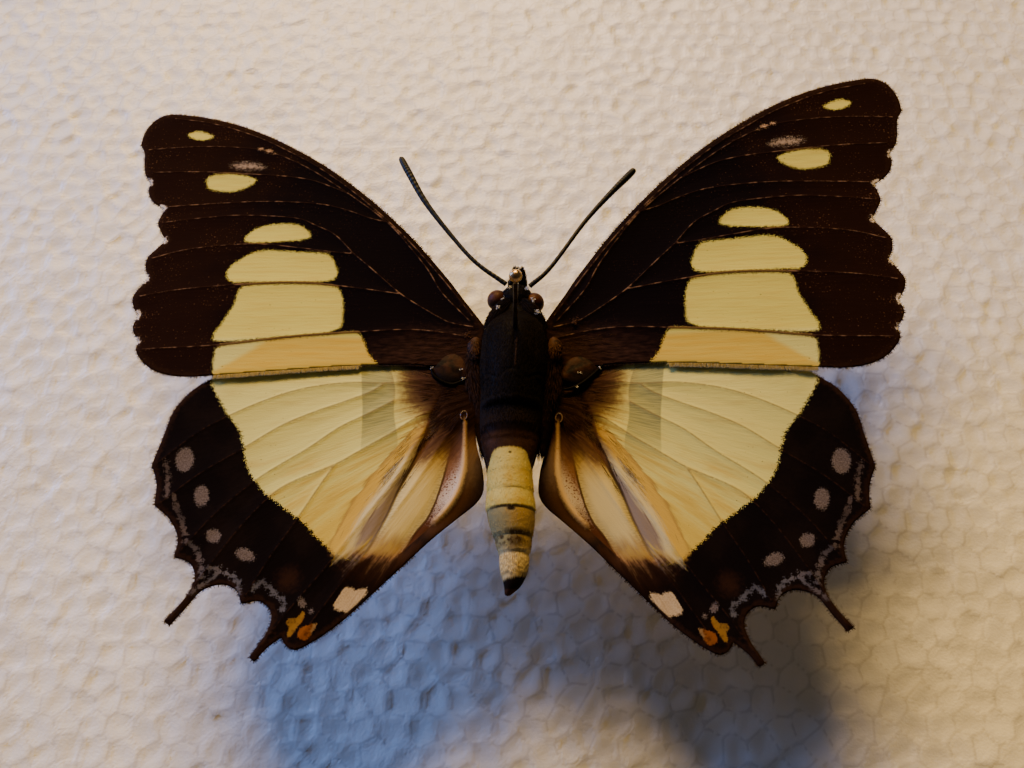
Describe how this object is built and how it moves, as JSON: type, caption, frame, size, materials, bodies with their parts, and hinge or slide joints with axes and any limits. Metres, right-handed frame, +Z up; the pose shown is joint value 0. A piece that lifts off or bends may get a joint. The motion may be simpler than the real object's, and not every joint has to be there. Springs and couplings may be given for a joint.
{
  "type": "pinned noble white charaxes butterfly",
  "caption": "Spread dark and cream butterfly with tailed hindwings, on a ball-headed insect pin in a rectangular white foam slab, for display.",
  "frame": {"origin": "middle of the foam slab's underside", "axes": "+Z up out of the slab, +Y towards the butterfly's head, +X to the right in the picture, which is the butterfly's right side"},
  "size_m": [0.176, 0.124, 0.0498],
  "materials": {
    "foam_white": "expanded bead foam",
    "pin_steel": "black",
    "pin_brass": "polished",
    "body_black": "short dark hair",
    "abdomen_cream": "cream scales",
    "eye_brown": "glossy",
    "wing_brown": "scaled membrane",
    "wing_cream": "scaled membrane",
    "leg_brown": "satin",
    "tegula_brown": "satin"
  },
  "bodies": {
    "root": {"foam_board": "foam_white", "pin_shaft": "pin_steel", "pin_head": "pin_brass", "head": "body_black", "prothorax": "body_black", "thorax": "body_black", "abdomen": "abdomen_cream", "eye_left": "eye_brown", "eye_right": "eye_brown", "palp_left": "body_black", "palp_right": "body_black", "antenna_left": "body_black", "antenna_right": "body_black", "proboscis": "leg_brown", "foreleg_left": "leg_brown", "foreleg_right": "leg_brown", "midleg_left": "leg_brown", "midleg_right": "leg_brown", "hindleg_left": "leg_brown", "hindleg_right": "leg_brown", "forewing_left": "wing_brown", "forewing_right": "wing_brown", "hindwing_left": "wing_cream", "hindwing_right": "wing_cream", "tegula_left": "tegula_brown", "tegula_right": "tegula_brown"}
  },
  "joints": []
}
